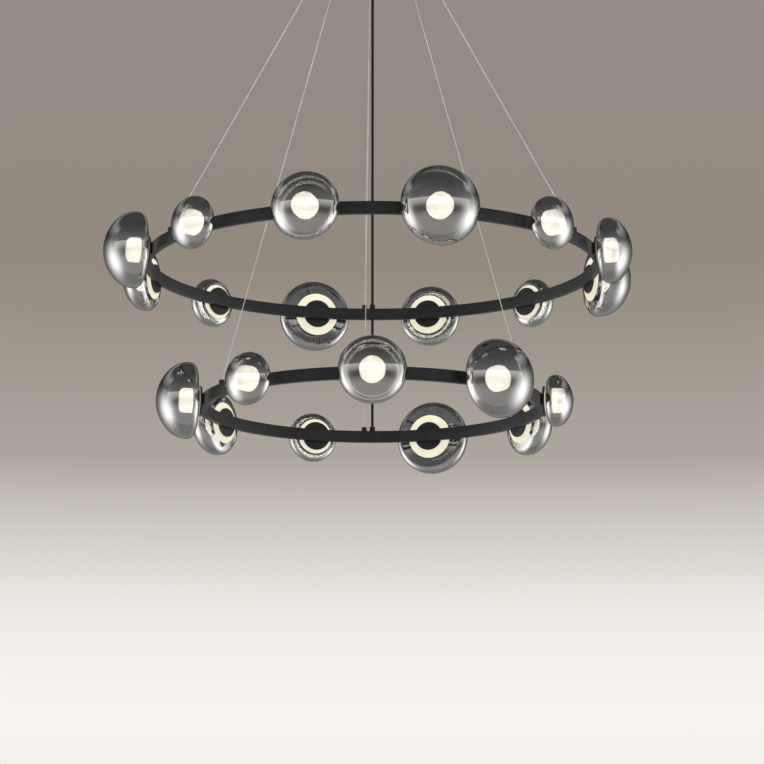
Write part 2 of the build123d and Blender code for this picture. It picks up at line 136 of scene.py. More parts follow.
def rounded(corners: Sequence[Tuple[float, float, float]], steps: int = 5) -> Array:
    """Outline whose corners are tangent arcs.

    A corner's arc touches its two sides at radius / tan(half the corner's angle) from the corner, and its
    points are the corner's two tangent points swung about the arc's centre.

    Args:
        corners: (radius, height, rounding) of each corner, in order; a rounding of 0 keeps it sharp.
        steps: Number of steps of an arc.

    Returns:
        The outline's points; its first and last corners stay sharp.
    """
    points = np.array([corner[:2] for corner in corners])
    outline: List[Array] = [points[:1]]
    for index in range(1, len(corners) - 1):
        before, corner, after = points[index - 1], points[index], points[index + 1]
        arms = [(end - corner) / np.linalg.norm(end - corner) for end in (before, after)]
        half = 0.5 * math.acos(float(np.clip(arms[0] @ arms[1], -1.0, 1.0)))
        rounding = corners[index][2]
        if rounding <= 0.0:
            outline.append(corner[None])
            continue
        middle = (arms[0] + arms[1]) / np.linalg.norm(arms[0] + arms[1])
        centre = corner + middle * rounding / math.sin(half)
        starts = [corner + arm * rounding / math.tan(half) - centre for arm in arms]
        swing = np.linspace(0.0, 1.0, steps + 1)[:, None]
        total = math.pi - 2.0 * half
        shares = [np.sin((1.0 - swing) * total), np.sin(swing * total)]
        swung = (shares[0] * starts[0] + shares[1] * starts[1]) / math.sin(total)
        outline.append(centre + swung)
    outline.append(points[-1:])
    return np.concatenate(outline)


def tube(start: Array, end: Array, rows: int, section: Callable[[Array, Array], Array]) -> Surface:
    """Straight tube: at distance s and turn t a point lies section(s, t) from the line, square to it.

    Args:
        start: One end of the line.
        end: The other end.
        rows: Number of rings along the line.
        section: Distance from the line as a function of the distances along it and the turns.

    Returns:
        The points and faces, with both ends closed to a point.
    """
    run = end - start
    length = float(np.linalg.norm(run))
    along = run / length
    side = np.cross(along, (0.0, 1.0, 0.0))
    side /= np.linalg.norm(side)
    other = np.cross(along, side)
    turn = np.linspace(0.0, FULL_TURN, TUBE_COLUMNS, endpoint=False)[None, :]
    distance = np.linspace(0.0, length, rows)[:, None]
    reach = section(distance, turn)[..., None]
    ring = np.cos(turn)[..., None] * side + np.sin(turn)[..., None] * other
    body = start + distance[..., None] * along + reach * ring
    ends = [np.repeat(end_point[None, None], TUBE_COLUMNS, axis=1) for end_point in (start, end)]
    points = np.concatenate([ends[0], body, ends[1]])
    return points.reshape(-1, 3), quads(rows + 2, TUBE_COLUMNS, False)


def joined(surfaces: Sequence[Surface]) -> Surface:
    """Put several surfaces into one set of points and faces.

    Args:
        surfaces: The surfaces, whose point numbers are shifted past those of the ones before.

    Returns:
        The points and faces of all.
    """
    offsets = np.cumsum([0] + [len(points) for points, _ in surfaces[:-1]])
    points = np.concatenate([surface[0] for surface in surfaces])
    faces = np.concatenate([surface[1] + offset for surface, offset in zip(surfaces, offsets)])
    return points, faces


def placed(surface: Surface, matrix: Array) -> Surface:
    """A surface moved by a 4 x 4 matrix."""
    points, faces = surface
    return points @ matrix[:3, :3].T + matrix[:3, 3], faces


def piece(name: str, surface: Surface, material: bpy.types.Material, body: str,
          nodes: Sequence[str] = ()) -> bpy.types.Object:
    """Make a piece of the chandelier that rides on a body.

    Args:
        name: The piece's name.
        surface: Its points and faces, in the frame.
        material: Its finish.
        body: The body that it moves with.
        nodes: The nodes that it stands for.

    Returns:
        The new object.
    """
    points, faces = surface
    mesh = bpy.data.meshes.new(name)
    mesh.from_pydata(points.tolist(), [], faces.tolist())
    shell = bmesh.new()
    shell.from_mesh(mesh)
    bmesh.ops.remove_doubles(shell, verts=shell.verts, dist=MERGE_DISTANCE)
    bmesh.ops.recalc_face_normals(shell, faces=shell.faces)
    shell.to_mesh(mesh)
    shell.free()
    mesh.shade_smooth()
    mesh.set_sharp_from_angle(angle=SHARP_ANGLE)
    mesh.materials.append(material)
    made = bpy.data.objects.new(name, mesh)
    bpy.context.scene.collection.objects.link(made)
    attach(made, body)
    if nodes:
        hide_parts(*nodes)
    LOG.info("%s: %d faces on %s", name, len(mesh.polygons), body)
    return made


# Shader maths


class Signal:
    """A socket's value in one material; arithmetic on it adds Math nodes."""

    def __init__(self, graph: "Graph", socket: bpy.types.NodeSocket) -> None:
        """Wrap a socket of the graph."""
        self.graph = graph
        self.socket = socket

    def _math(self, operation: str, first: Any, second: Any) -> "Signal":
        """Add one Math node."""
        return self.graph.value("ShaderNodeMath", {"operation": operation}, {0: first, 1: second})

    def __add__(self, other: Any) -> "Signal":
        """Sum."""
        return self._math("ADD", self, other)

    __radd__ = __add__

    def __mul__(self, other: Any) -> "Signal":
        """Product."""
        return self._math("MULTIPLY", self, other)

    __rmul__ = __mul__

    def __sub__(self, other: Any) -> "Signal":
        """Difference."""
        return self._math("SUBTRACT", self, other)

    def __rsub__(self, other: Any) -> "Signal":
        """Difference with the signal second."""
        return self._math("SUBTRACT", other, self)

    def __pow__(self, other: Any) -> "Signal":
        """Power."""
        return self._math("POWER", self, other)

    def __rpow__(self, other: Any) -> "Signal":
        """Power with the signal as the exponent."""
        return self._math("POWER", other, self)


class Graph:
    """The node graph of one material or world."""

    def __init__(self, tree: bpy.types.NodeTree) -> None:
        """Start from an empty tree."""
        tree.nodes.clear()
        self.tree = tree

    @staticmethod
    def material(name: str) -> Tuple[bpy.types.Material, "Graph"]:
        """Start a new material.

        Args:
            name: The material's name.

        Returns:
            The material and its empty graph.
        """
        made = bpy.data.materials.new(name)
        made.use_nodes = True
        return made, Graph(made.node_tree)

    def node(self, kind: str, settings: Dict[str, Any], inputs: Inputs) -> bpy.types.Node:
        """Add a node.

        Args:
            kind: The node's type.
            settings: Its properties; "stops" are a colour ramp's places and colours.
            inputs: Values, signals or sockets for its inputs, by name or number.

        Returns:
            The node.
        """
        made = self.tree.nodes.new(kind)
        for key, value in settings.items():
            if key == "stops":
                ramp = made.color_ramp
                while len(ramp.elements) < len(value):
                    ramp.elements.new(0.5)
                for element, (place, colour) in zip(ramp.elements, value):
                    element.position = place
                    element.color = (*colour, 1.0)
            else:
                setattr(made, key, value)
        for key, value in inputs.items():
            if isinstance(value, Signal):
                value = value.socket
            if isinstance(value, bpy.types.NodeSocket):
                self.tree.links.new(value, made.inputs[key])
            else:
                made.inputs[key].default_value = value
        return made

    def value(self, kind: str, settings: Dict[str, Any], inputs: Inputs, output: Key = 0) -> Signal:
        """Add a node and take one of its outputs."""
        return Signal(self, self.node(kind, settings, inputs).outputs[output])

    def noise(self, scale: float, detail: float = 2.0) -> Signal:
        """Noise on Object coordinates, from 0 to 1."""
        where = self.value("ShaderNodeTexCoord", {}, {}, "Object")
        return self.value("ShaderNodeTexNoise", {}, {"Vector": where, "Scale": scale, "Detail": detail})

    def ramp(self, factor: Signal, stops: Sequence[Tuple[float, Colour]]) -> Signal:
        """Colour ramp on a value."""
        return self.value("ShaderNodeValToRGB", {"stops": stops}, {"Fac": factor})

    def blend(self, factor: Signal, low: Colour, high: Colour,
              ends: Tuple[float, float] = TONE_ENDS) -> Signal:
        """Colour that goes from one tone to another between two values of a factor."""
        return self.ramp(factor, [(ends[0], low), (ends[1], high)])

    def mix(self, factor: Any, first: Any, second: Any) -> Signal:
        """Mix of two colours, which a Mix node takes at its inputs 6 and 7 and gives at its output 2."""
        return self.value("ShaderNodeMix", {"data_type": "RGBA"}, {0: factor, 6: first, 7: second}, 2)

    def lobe(self, axes: bpy.types.Node, side: Point) -> Signal:
        """Cosine of the angle to a direction, the same on the left as on the right, and 0 behind it.

        Args:
            axes: The node that gives a ray's three parts.
            side: The direction, for the right-hand side.

        Returns:
            The cosine.
        """
        across = self.value("ShaderNodeMath", {"operation": "ABSOLUTE"}, {0: axes.outputs["X"]})
        deep = Signal(self, axes.outputs["Y"])
        high = Signal(self, axes.outputs["Z"])
        cosine = across * side[0] + deep * side[1] + high * side[2]
        return self.value("ShaderNodeMath", {"operation": "MAXIMUM"}, {0: cosine, 1: 0.0})

    def bump(self, height: Signal, depth: float) -> Signal:
        """Normal that follows a height from 0 to 1, at its real depth in metres."""
        return self.value("ShaderNodeBump", {}, {"Height": height, "Distance": depth, "Strength": 1.0})

    def surface(self, inputs: Inputs) -> None:
        """End the graph in a Principled shader."""
        shader = self.node("ShaderNodeBsdfPrincipled", {}, inputs)
        self.node("ShaderNodeOutputMaterial", {}, {"Surface": shader.outputs[0]})


# Finishes


@dataclass(frozen=True)
class PowderCoat:
    """Satin black powder coat with a fine orange-peel surface."""

    name: str = "satin_black_coat"
    dark: Colour = (0.008, 0.008, 0.009)
    light: Colour = (0.015, 0.015, 0.017)
    roughness: float = 0.39
    roughness_spread: float = 0.14
    mottle_scale: float = 38.0
    mottle_detail: float = 4.0
    mottle_ends: Tuple[float, float] = (0.3, 0.75)
    peel_scale: float = 1500.0
    peel_depth: float = 0.00003

    def build(self) -> bpy.types.Material:
        """Make the finish.

        Returns:
            The material.
        """
        made, graph = Graph.material(self.name)
        mottle = graph.noise(self.mottle_scale, self.mottle_detail)
        peel = graph.noise(self.peel_scale)
        graph.surface({
            "Base Color": graph.blend(mottle, self.dark, self.light, self.mottle_ends),
            "Roughness": mottle * self.roughness_spread + self.roughness,
            "Normal": graph.bump(peel, self.peel_depth),
        })
        return made


@dataclass(frozen=True)
class BrushedMetal:
    """Bare, plated or bronzed metal with fine turning marks."""

    name: str
    dark: Colour
    light: Colour
    roughness: float
    metallic: float = 1.0
    roughness_spread: float = 0.16
    cloud_scale: float = 60.0
    mark_scale: float = 700.0
    detail: float = 3.0
    mark_depth: float = 0.000012

    def build(self) -> bpy.types.Material:
        """Make the finish.

        Returns:
            The material.
        """
        made, graph = Graph.material(self.name)
        marks = graph.noise(self.mark_scale, self.detail)
        cloud = graph.noise(self.cloud_scale, self.detail)
        graph.surface({
            "Base Color": graph.blend(cloud, self.dark, self.light),
            "Metallic": self.metallic,
            "Roughness": marks * self.roughness_spread + self.roughness,
            "Normal": graph.bump(marks, self.mark_depth),
        })
        return made


@dataclass(frozen=True)
class MouldedPlastic:
    """Moulded or painted plastic with a faint grain."""

    name: str
    dark: Colour
    light: Colour
    roughness: float
    roughness_spread: float = 0.12
    cloud_scale: float = 45.0
    cloud_detail: float = 3.0
    grain_scale: float = 900.0
    grain_depth: float = 0.000025

    def build(self) -> bpy.types.Material:
        """Make the finish.

        Returns:
            The material.
        """
        made, graph = Graph.material(self.name)
        cloud = graph.noise(self.cloud_scale, self.cloud_detail)
        grain = graph.noise(self.grain_scale)
        graph.surface({
            "Base Color": graph.blend(cloud, self.dark, self.light),
            "Roughness": grain * self.roughness_spread + self.roughness,
            "Normal": graph.bump(grain, self.grain_depth),
        })
        return made


@dataclass(frozen=True)
class SmokyGlass:
    """Half-mirrored smoky grey glass: towards its outline the metal film closes up, and a dark matte surface
    is mixed in there as painted shade for the dark edges of thick glass.
    """

    name: str = "smoky_half_mirror_glass"
    film_dark: Colour = (0.62, 0.615, 0.61)
    film_light: Colour = (0.70, 0.692, 0.685)
    # Colour of the painted shade that darkens the glass's outline.
    painted_edge_shade: Rgba = (0.012, 0.012, 0.013, 1.0)
    cover: float = 0.66
    edge_cover: float = 0.32
    edge_blend: float = 0.35
    painted_edge_power: float = 2.0
    film_roughness: float = 0.015
    film_spread: float = 0.03
    painted_edge_roughness: float = 0.4
    painted_edge_spread: float = 0.1
    cloud_scale: float = 30.0
    cloud_detail: float = 3.0
    ripple_scale: float = 16.0
    ripple_detail: float = 1.0
    ripple_depth: float = 0.0003

    def build(self) -> bpy.types.Material:
        """Make the finish.

        Returns:
            The material.
        """
        made, graph = Graph.material(self.name)
        cloud = graph.noise(self.cloud_scale, self.cloud_detail)
        ripple = graph.noise(self.ripple_scale, self.ripple_detail)
        facing = graph.value("ShaderNodeLayerWeight", {}, {"Blend": self.edge_blend}, "Facing")
        film = graph.node("ShaderNodeBsdfPrincipled", {}, {
            "Base Color": graph.blend(cloud, self.film_dark, self.film_light),
            "Metallic": 1.0,
            "Roughness": cloud * self.film_spread + self.film_roughness,
            "Alpha": facing * self.edge_cover + self.cover,
            "Normal": graph.bump(ripple, self.ripple_depth),
        })
        # Painted shade: a dark surface without reflection, mixed in towards the outline to draw it dark.
        edge = graph.node("ShaderNodeBsdfPrincipled", {}, {
            "Base Color": self.painted_edge_shade,
            "Roughness": cloud * self.painted_edge_spread + self.painted_edge_roughness,
            "Specular IOR Level": 0.0,
        })
        shader = graph.node("ShaderNodeMixShader", {},
                            {0: facing**self.painted_edge_power, 1: film.outputs[0], 2: edge.outputs[0]})
        graph.node("ShaderNodeOutputMaterial", {}, {"Surface": shader.outputs[0]})
        made.surface_render_method = "BLENDED"
        return made


@dataclass(frozen=True)
class GlowingOpal:
    """Glowing opal plastic: glows evenly, a little warmer in places. On the cap the glow is the lamp's own;
    on the shade plate it is a painted glow that stands in for the cap's light reflected inside the glass.
    """

    name: str
    cool: Colour
    warm: Colour
    strength: float
    unlit: Rgba = (0.9, 0.88, 0.83, 1.0)
    roughness: float = 0.3
    roughness_spread: float = 0.1
    cloud_scale: float = 55.0
    cloud_ends: Tuple[float, float] = (0.25, 0.7)

    def build(self) -> bpy.types.Material:
        """Make the finish.

        Returns:
            The material.
        """
        made, graph = Graph.material(self.name)
        cloud = graph.noise(self.cloud_scale)
        graph.surface({
            "Base Color": self.unlit,
            "Roughness": cloud * self.roughness_spread + self.roughness,
            "Emission Color": graph.blend(cloud, self.warm, self.cool, self.cloud_ends),
            "Emission Strength": self.strength,
        })
        return made


@dataclass
class Finishes:
    """All finishes, by the record's material slots."""

    made: Dict[str, bpy.types.Material] = field(default_factory=dict)

    def build(self) -> None:
        """Make every finish once."""
        recipes = {
            "black_paint": PowderCoat(),
            "smoky_glass": SmokyGlass(),
            "opal_diffuser": GlowingOpal("lit_opal_cap", cool=(1.0, 0.97, 0.85), warm=(1.0, 0.95, 0.80),
                                     strength=5.8),
            # The shade plate's glow is painted light: it stands in for the cap's light reflected inside the
            # glass and seen through its back opening.
            "opal_plate": GlowingOpal("shade_plate_painted_glow", cool=(0.95, 0.90, 0.72), warm=(0.88, 0.82, 0.62),
                                  strength=0.72, unlit=(0.30, 0.28, 0.22, 1.0)),
            "bronze_holder": BrushedMetal("dark_bronze", dark=(0.030, 0.020, 0.014),
                                          light=(0.055, 0.038, 0.026), roughness=0.42, metallic=0.6),
            "zinc_steel": BrushedMetal("zinc_plate", dark=(0.48, 0.49, 0.50), light=(0.60, 0.61, 0.62),
                                       roughness=0.27),
            "steel_wire": BrushedMetal("stranded_steel", dark=(0.52, 0.515, 0.50),
                                       light=(0.64, 0.635, 0.62), roughness=0.42, metallic=0.25),
            "cable_sheath": MouldedPlastic("cable_sheath", dark=(0.003, 0.003, 0.003),
                                           light=(0.006, 0.006, 0.006), roughness=0.69),
            "led_board": MouldedPlastic("circuit_board", dark=(0.80, 0.80, 0.78),
                                        light=(0.88, 0.88, 0.86), roughness=0.39),
            "driver_case": MouldedPlastic("driver_case", dark=(0.50, 0.50, 0.49),
                                          light=(0.58, 0.58, 0.57), roughness=0.44),
            "terminal_plastic": MouldedPlastic("terminal_nylon", dark=(0.80, 0.78, 0.70),
                                               light=(0.88, 0.86, 0.79), roughness=0.39),
        }
        for slot, recipe in recipes.items():
            self.made[slot] = recipe.build()

    def dress_nodes(self) -> None:
        """Give each CAD node the finish of its slot."""
        for entry in frame["record"]["subparts"]:
            node = frame["nodes"][entry["node"]]
            node.data.materials.clear()
            node.data.materials.append(self.made[entry["material_slot"]])


# Sub-assemblies


@dataclass
class Canopy:
    """Round cup on the ceiling."""

    radius: float = 0.120
    height: float = 0.040
    wall: float = 0.0015
    edge: float = 0.005
    lip: float = 0.0004
    arc_steps: int = 8
    columns: int = 192

    def build(self, finishes: Finishes) -> None:
        """Make the cup as one turned sheet.

        Args:
            finishes: The finishes by slot.
        """
        inner = self.radius - self.wall
        floor = -self.height + self.wall
        outline = rounded([
            (0.0, -self.height, 0.0),
            (self.radius, -self.height, self.edge),
            (self.radius, 0.0, self.lip),
            (inner, 0.0, self.lip),
            (inner, floor, self.edge - self.wall),
            (0.0, floor, 0.0),
        ], self.arc_steps)
        piece("canopy_cup", lathe(outline, self.columns), finishes.made["black_paint"], "canopy",
              ["canopy_cover"])


@dataclass
class Lamp:
    """One size of lamp, with distances along its axis from the ring's outer face."""

    glass_radius: float
    opening: float
    front_depth: float
    side_radius: float
    wall: float = 0.002
    rim: float = 0.007
    shoulder: float = 0.014
    back_tilt: float = math.radians(10.0)
    disc_radius: float = 0.026
    disc_thickness: float = 0.004
    disc_edge: float = 0.0012
    seat_gap: float = 0.0002
    cap_radius: float = 0.0215
    cap_length: float = 0.021
    cap_wall: float = 0.002
    cap_edge: float = 0.0065
    cap_lip: float = 0.0005
    cap_steps: int = 8
    washer_lap: float = 0.003
    washer_gap: float = 0.0003
    washer_thickness: float = 0.0015
    holder_radius: float = 0.016
    holder_length: float = 0.008
    holder_flange: float = 0.0025
    holder_edge: float = 0.0004
    holder_steps: int = 3
    flange_gap: float = 0.0001
    flange_edge: float = 0.0003
    grooves: int = 3
    groove_depth: float = 0.0012
    groove_edge: float = 0.0002
    cap_overlap: float = 0.003
    plate_hub: float = 0.020
    plate_ledge: float = 0.0005
    plate_gap: float = 0.0003
    plate_root: float = 0.0008
    plate_back_edge: float = 0.0006
    plate_front_edge: float = 0.0004
    glass_steps: int = 14
    glass_columns: int = 128
    plate_columns: int = 72
    cap_columns: int = 64

    def widest(self) -> float:
        """Find the glass's widest circle: past the back cone by the shoulder arc's share of the axis.

        Returns:
            Its distance from the ring.
        """
        bend = self.glass_radius - self.shoulder * (1.0 - math.sin(self.back_tilt))
        cone = (bend - self.opening) * math.tan(self.back_tilt)
        return self.rim + cone + self.shoulder * math.cos(self.back_tilt)

    def washer_back(self) -> float:
        """Find the washer behind the lamp holder, which lies on the glass's inner face.

        Returns:
            The distance of its back face: on the shoulder arc where it reaches that far, or else on the
            back cone.
        """
        inner_shoulder = self.shoulder - self.wall
        offset = self.opening + self.washer_lap - self.glass_radius + self.shoulder
        if offset > inner_shoulder * math.sin(self.back_tilt):
            glass = self.widest() - math.sqrt(inner_shoulder**2 - offset**2)
        else:
            glass = self.rim + self.wall / math.cos(self.back_tilt)
            glass += self.washer_lap * math.tan(self.back_tilt)
        return glass + self.washer_gap

    def holder_back(self) -> float:
        """Distance of the lamp holder's back face."""
        return self.washer_back() + self.washer_thickness

    def skin(self, wall: float, steps: int) -> Array:
        """One face of the glass from its rim to its tip: a cone, a shoulder arc, a side arc and a crown arc.

        The crown arc's radius makes it run into the side arc without a kink: its centre is on the axis and
        the two centres lie the difference of the radii apart.

        Args:
            wall: Depth of the face under the outer one.
            steps: Number of points of an arc.

        Returns:
            Points (radius, distance).
        """
        radius, side, depth, widest = self.glass_radius, self.side_radius, self.front_depth, self.widest()
        crown = ((radius - side) ** 2 + depth**2 - side**2) / (2.0 * (depth - side))
        lean = math.atan2(crown - depth, radius - side)
        bend = np.linspace(self.back_tilt - QUARTER_TURN, 0.0, steps)
        turn = np.linspace(0.0, lean, steps)[1:]
        top = np.linspace(lean, QUARTER_TURN, 2 * steps)[1:]
        back = self.shoulder - wall
        front = side - wall
        cap = crown - wall
        parts = [
            np.array([[self.opening, self.rim + wall / math.cos(self.back_tilt)]]),
            np.stack([radius - self.shoulder + back * np.cos(bend), widest + back * np.sin(bend)], axis=1),
            np.stack([radius - side + front * np.cos(turn), widest + front * np.sin(turn)], axis=1),
            np.stack([cap * np.cos(top), widest + depth - crown + cap * np.sin(top)], axis=1),
        ]
        skin = np.concatenate(parts)
        skin[-1, 0] = 0.0
        return skin

    def glass(self) -> Surface:
        """Blown glass shell: outer face from the tip back to the rim, then the inner face to its tip."""
        outer, inner = self.skin(0.0, self.glass_steps), self.skin(self.wall, self.glass_steps)
        return lathe(np.concatenate([outer[::-1], inner]), self.glass_columns)

    def cap(self) -> Surface:
        """Make the opal cup with a rounded front edge.

        Returns:
            Its points and faces.
        """
        back = self.holder_back() + self.holder_length - self.cap_overlap
        front = back + self.cap_length
        inner = self.cap_radius - self.cap_wall
        outline = rounded([
            (0.0, front, 0.0),
            (self.cap_radius, front, self.cap_edge),
            (self.cap_radius, back, self.cap_lip),
            (inner, back, self.cap_lip),
            (inner, front - self.cap_wall, self.cap_edge - self.cap_wall),
            (0.0, front - self.cap_wall, 0.0),
        ], self.cap_steps)
        return lathe(outline, self.cap_columns)

    def disc(self) -> Surface:
        """Make the black disc with softened edges.

        Returns:
            Its points and faces.
        """
        front = self.seat_gap + self.disc_thickness
        outline = rounded([
            (0.0, self.seat_gap, 0.0),
            (self.disc_radius, self.seat_gap, self.disc_edge),
            (self.disc_radius, front, self.disc_edge),
            (0.0, front, 0.0),
        ])
        return lathe(outline, self.plate_columns)

    def plate(self) -> Surface:
        """Make the plate on its hub, in the glass's back opening.

        Returns:
            Its points and faces.
        """
        back = self.seat_gap + self.disc_thickness
        ledge = self.rim - self.plate_ledge
        reach = self.opening - self.plate_gap
        front = self.washer_back()
        outline = rounded([
            (0.0, back, 0.0),
            (self.plate_hub, back, 0.0),
            (self.plate_hub, ledge, self.plate_root),
            (reach, ledge, self.plate_back_edge),
            (reach, front, self.plate_front_edge),
            (0.0, front, 0.0),
        ])
        return lathe(outline, self.plate_columns)

    def holder(self) -> Surface:
        """Make the turned holder with cooling grooves, and the flange that carries the opal cap.

        Returns:
            Its points and faces.
        """
        back = self.holder_back()
        flange = back + self.holder_length
        front = flange + self.holder_flange
        reach = self.cap_radius - self.cap_wall - self.flange_gap
        outer = self.holder_radius
        bottom = outer - self.groove_depth
        corners = [(0.0, back, 0.0), (outer, back, self.holder_edge)]
        pitch = self.holder_length / (2 * self.grooves + 1)
        for groove in range(self.grooves):
            start = back + (2 * groove + 1) * pitch
            end = start + pitch
            corners += [
                (outer, start, self.groove_edge),
                (bottom, start, self.groove_edge),
                (bottom, end, self.groove_edge),
                (outer, end, self.groove_edge),
            ]
        corners += [
            (outer, flange, 0.0),
            (reach, flange, self.flange_edge),
            (reach, front, self.flange_edge),
            (0.0, front, 0.0),
        ]
        return lathe(rounded(corners, self.holder_steps), self.cap_columns)


LAMPS = {
    Size.SMALL: Lamp(glass_radius=0.045, opening=0.032, front_depth=0.031, side_radius=0.022),
    Size.MEDIUM: Lamp(glass_radius=0.057, opening=0.037, front_depth=0.040, side_radius=0.029),
    Size.LARGE: Lamp(glass_radius=0.0665, opening=0.040, front_depth=0.055, side_radius=0.046),
}


@dataclass
class Tier:
    """One ring with its lamps, wires and cable."""

    level: Level
    radius: float
    lamps: int
    first_angle: float
    order: str
    wire_circle: float
    cable_y: float
    depth: float = 0.010
    height: float = 0.021
    edge: float = 0.0009
    edge_steps: int = 4
    columns: int = 360
    wire_radius: float = 0.0007
    wire_angle: float = math.radians(60.0)
    wire_top: float = -0.047
    far_top: float = -0.005
    far_foot: float = -0.015
    wire_lift: float = 0.0035
    strand_pitch: float = 0.011
    strands: int = 6
    strand_relief: float = 0.14
    rows_per_pitch: int = 10
    cable_radius: float = 0.0024
    cable_rows: int = 60
    cable_top: float = -0.0485
    cable_lift: float = 0.0068
    travel: float = 0.2

    def body(self) -> str:
        """The body that carries the ring."""
        return self.level.value + "_tier"

    def joint(self) -> str:
        """The joint that raises the ring."""
        return self.level.value + "_ring_height"

    def node(self, name: str) -> str:
        """A node of this tier."""
        return "%s_%s" % (self.level.value, name)

    def middle(self) -> float:
        """Height of the ring's middle plane."""
        low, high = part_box(self.node("ring"))
        return 0.5 * (low[2] + high[2])

    def lamp_matrix(self, index: int) -> Array:
        """Find the place of a lamp, whose axis points away from the ring and whose first side points up.

        Args:
            index: The lamp's number along the ring, from 0.

        Returns:
            The 4 x 4 matrix from the lamp's own axes to the frame.
        """
        angle = math.radians(self.first_angle + index * 360.0 / self.lamps)
        out = np.array([math.sin(angle), -math.cos(angle), 0.0])
        up = np.array([0.0, 0.0, 1.0])
        matrix = np.eye(4)
        matrix[:3, 0], matrix[:3, 1], matrix[:3, 2] = up, np.cross(out, up), out
        matrix[:3, 3] = out * self.radius + up * self.middle()
        return matrix

    def lamp(self, index: int) -> Lamp:
        """The lamp at one place on the ring."""
        return LAMPS[Size(self.order[index % len(self.order)])]

    def build_ring(self, finishes: Finishes) -> None:
        """Make the rolled tube with softened edges.

        Args:
            finishes: The finishes by slot.
        """
        half = self.height / 2.0
        inner = self.radius - self.depth
        middle = self.radius - self.depth / 2.0
        outline = rounded([
            (middle, -half, 0.0),
            (self.radius, -half, self.edge),
            (self.radius, half, self.edge),
            (inner, half, self.edge),
            (inner, -half, self.edge),
            (middle, -half, 0.0),
        ], self.edge_steps)[:-1]
        points, faces = lathe(outline, self.columns)
        points[:, 2] += self.middle()
        piece(self.node("ring_tube"), (points, faces), finishes.made["black_paint"], self.body(),
              [self.node("ring")])

    def build_lamps(self, finishes: Finishes) -> None:
        """Make every shade as its own piece, and the pieces behind the glass as one piece of a kind.

        Args:
            finishes: The finishes by slot.
        """
        kinds = {
            "opal_caps": (Lamp.cap, "opal_diffuser"),
            "lamp_discs": (Lamp.disc, "black_paint"),
            # The shade plates carry a painted glow that stands in for the cap's light reflected inside the
            # glass.
            "shade_plates": (Lamp.plate, "opal_plate"),
            "lamp_holders": (Lamp.holder, "bronze_holder"),
        }
        for name, (shape, slot) in kinds.items():
            parts = [placed(shape(self.lamp(index)), self.lamp_matrix(index))
                     for index in range(self.lamps)]
            piece(self.node(name + "_turned"), joined(parts), finishes.made[slot], self.body(),
                  [self.node(name)])
        for index in range(self.lamps):
            glass = placed(self.lamp(index).glass(), self.lamp_matrix(index))
            node = self.node("shade_%02d" % (index + 1))
            piece(node + "_glass", glass, finishes.made["smoky_glass"], self.body(), [node])

    def wire_ends(self) -> List[Tuple[Array, Array]]:
        """Find both ends of each wire: two towards the front, left and right, and one beside the cable.

        Returns:
            Each wire's top and foot.
        """
        middle = self.radius - self.depth / 2.0
        foot_z = self.middle() + self.height / 2.0 + self.wire_lift
        ends = []
        for sign in (-1.0, 1.0):
            out = np.array([sign * math.sin(self.wire_angle), -math.cos(self.wire_angle), 0.0])
            ends.append((out * self.wire_circle + (0, 0, self.wire_top), out * middle + (0, 0, foot_z)))
        top_y = math.sqrt(self.wire_circle**2 - self.far_top**2)
        foot_y = math.sqrt(middle**2 - self.far_foot**2)
        far_top = np.array([self.far_top, top_y, self.wire_top])
        far_foot = np.array([self.far_foot, foot_y, foot_z])
        ends.append((far_top, far_foot))
        return ends

    def strand_section(self, distance: Array, turn: Array) -> Array:
        """Stranded wire: its radius swells and sinks once for each strand, wound along the line.

        Args:
            distance: Distances along the wire.
            turn: Turns around it.

        Returns:
            The distances of the wire's surface from its line.
        """
        wound = turn + FULL_TURN * distance / self.strand_pitch
        swell = self.strand_relief * np.abs(np.cos(0.5 * self.strands * wound))
        return self.wire_radius * (1.0 - self.strand_relief + swell)

    def build_suspension(self, finishes: Finishes) -> None:
        """Make the stranded wires and the power cable, which hang from the canopy body.

        Args:
            finishes: The finishes by slot.
        """
        ends = self.wire_ends()
        rows = int(np.linalg.norm(ends[0][1] - ends[0][0]) / self.strand_pitch * self.rows_per_pitch)
        strands = joined([tube(top, foot, rows, self.strand_section) for top, foot in ends])
        wires = piece(self.node("wires_stranded"), strands, finishes.made["steel_wire"], "canopy",
                      [self.node("wires")])
        self.shorten(wires, self.wire_top, ends[0][1][2])
        foot_z = self.middle() + self.height / 2.0 + self.cable_lift
        top = np.array([0.0, self.cable_y, self.cable_top])
        foot = np.array([0.0, self.radius - self.depth / 2.0, foot_z])
        sheath = tube(top, foot, self.cable_rows,
                      lambda distance, turn: self.cable_radius + 0.0 * distance * turn)
        cable = piece(self.node("cable_sheathed"), sheath, finishes.made["cable_sheath"], "canopy",
                      [self.node("cable")])
        self.shorten(cable, self.cable_top, foot_z)

    def shorten(self, hanging: bpy.types.Object, top: float, foot: float) -> None:
        """Give a hanging piece its own copy of its mesh; the share of its drop that would stay as the ring
        goes up is worked out but not applied.

        Args:
            hanging: The wires or the cable.
            top: Height of its top.
            foot: Height of its foot.
        """
        drop = top - foot
        keep = (drop - self.travel) / drop
        self.joint()
        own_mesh(hanging)


# Studio


@dataclass(frozen=True)
class SoftBox:
    """A soft rectangular light that glass and metal do not mirror."""

    name: str
    place: Point
    width: float
    height: float
    power: float

    def build(self, target: Point) -> None:
        """Make the light and turn it to a point.

        Args:
            target: The point that it shines at.
        """
        data = bpy.data.lights.new(self.name, "AREA")
        data.shape = "RECTANGLE"
        data.size, data.size_y, data.energy = self.width, self.height, self.power
        light = bpy.data.objects.new(self.name, data)
        light.location = self.place
        away = np.array(self.place) - np.array(target)
        away /= np.linalg.norm(away)
        light.rotation_euler = (math.acos(away[2]), 0.0, math.atan2(away[1], away[0]) + QUARTER_TURN)
        light.visible_glossy = False
        bpy.context.scene.collection.objects.link(light)


